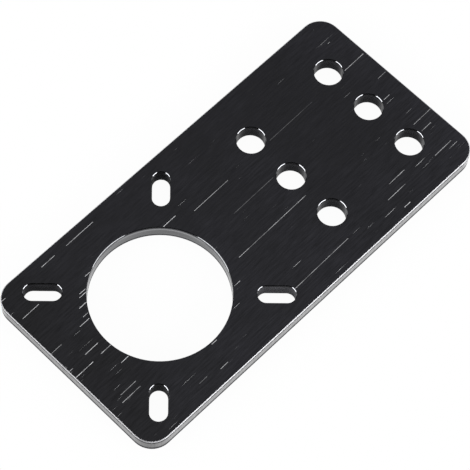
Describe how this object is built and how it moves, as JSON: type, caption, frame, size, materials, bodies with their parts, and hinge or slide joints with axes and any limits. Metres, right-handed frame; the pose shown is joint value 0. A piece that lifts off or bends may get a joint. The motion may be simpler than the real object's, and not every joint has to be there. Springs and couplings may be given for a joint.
{
  "type": "motor mounting bracket",
  "caption": "Flat black aluminium plate that holds a small square-flanged motor over a large round opening with radial slots, and screws to a frame through a grid of round holes.",
  "frame": {"origin": "centre of the motor bore, on the plate's back face", "axes": "+X along the plate from the motor bore to the frame end, +Y across the plate, +Z out of the front face"},
  "size_m": [0.0817, 0.0394, 0.0032],
  "materials": {
    "plate": "black anodised over a fine lengthwise brushed grain, with bare metal glints"
  },
  "bodies": {
    "root": {"mounting_plate": "plate"}
  },
  "joints": []
}
